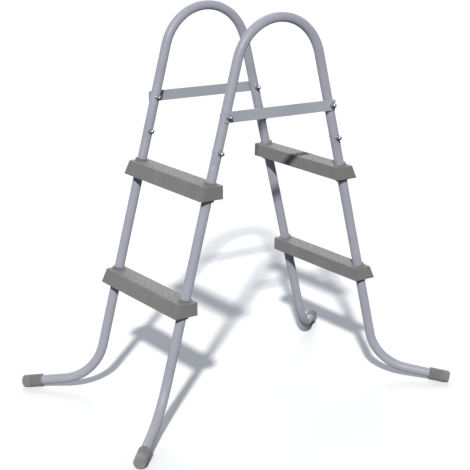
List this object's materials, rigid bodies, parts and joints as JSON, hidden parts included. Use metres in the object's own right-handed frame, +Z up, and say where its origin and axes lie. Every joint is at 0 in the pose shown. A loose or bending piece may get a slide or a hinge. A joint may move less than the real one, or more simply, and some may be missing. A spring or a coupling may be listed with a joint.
{
  "type": "pool ladder",
  "caption": "Free-standing A-frame ladder that straddles a soft pool's wall, with arched handrails, moulded treads and splayed, capped feet.",
  "frame": {"origin": "on the floor at the middle of the four feet", "axes": "+X crosses the pool wall, from the left steps to the right steps; +Y runs along the wall, from the front handrail to the rear one; +Z is up"},
  "size_m": [1.1378, 0.7164, 1.159],
  "materials": {
    "painted_tube": "satin light violet-grey paint on steel tube",
    "painted_bar": "satin light violet-grey paint on flat steel bar",
    "tread_plastic": "fine-grained moulded plastic, mid grey",
    "cap_rubber": "matt ribbed rubber, mid grey",
    "bright_steel": "bright zinc-plated steel"
  },
  "bodies": {
    "root": {"handrail_front": "painted_tube", "crossbar_front": "painted_bar", "leg_front_left": "painted_tube", "foot_cap_front_left": "cap_rubber", "crossbar_bolt_front_left": "bright_steel", "crossbar_washer_front_left": "bright_steel", "crossbar_nut_front_left": "bright_steel", "joint_bolt_front_left": "bright_steel", "joint_washer_front_left": "bright_steel", "joint_nut_front_left": "bright_steel", "tread_screw_lower_front_left": "bright_steel", "tread_screw_upper_front_left": "bright_steel", "leg_front_right": "painted_tube", "foot_cap_front_right": "cap_rubber", "crossbar_bolt_front_right": "bright_steel", "crossbar_washer_front_right": "bright_steel", "crossbar_nut_front_right": "bright_steel", "joint_bolt_front_right": "bright_steel", "joint_washer_front_right": "bright_steel", "joint_nut_front_right": "bright_steel", "tread_screw_lower_front_right": "bright_steel", "tread_screw_upper_front_right": "bright_steel", "handrail_rear": "painted_tube", "crossbar_rear": "painted_bar", "leg_rear_left": "painted_tube", "foot_cap_rear_left": "cap_rubber", "crossbar_bolt_rear_left": "bright_steel", "crossbar_washer_rear_left": "bright_steel", "crossbar_nut_rear_left": "bright_steel", "joint_bolt_rear_left": "bright_steel", "joint_washer_rear_left": "bright_steel", "joint_nut_rear_left": "bright_steel", "tread_screw_lower_rear_left": "bright_steel", "tread_screw_upper_rear_left": "bright_steel", "leg_rear_right": "painted_tube", "foot_cap_rear_right": "cap_rubber", "crossbar_bolt_rear_right": "bright_steel", "crossbar_washer_rear_right": "bright_steel", "crossbar_nut_rear_right": "bright_steel", "joint_bolt_rear_right": "bright_steel", "joint_washer_rear_right": "bright_steel", "joint_nut_rear_right": "bright_steel", "tread_screw_lower_rear_right": "bright_steel", "tread_screw_upper_rear_right": "bright_steel", "tread_lower_left": "tread_plastic", "tread_upper_left": "tread_plastic", "tread_lower_right": "tread_plastic", "tread_upper_right": "tread_plastic"}
  },
  "joints": []
}
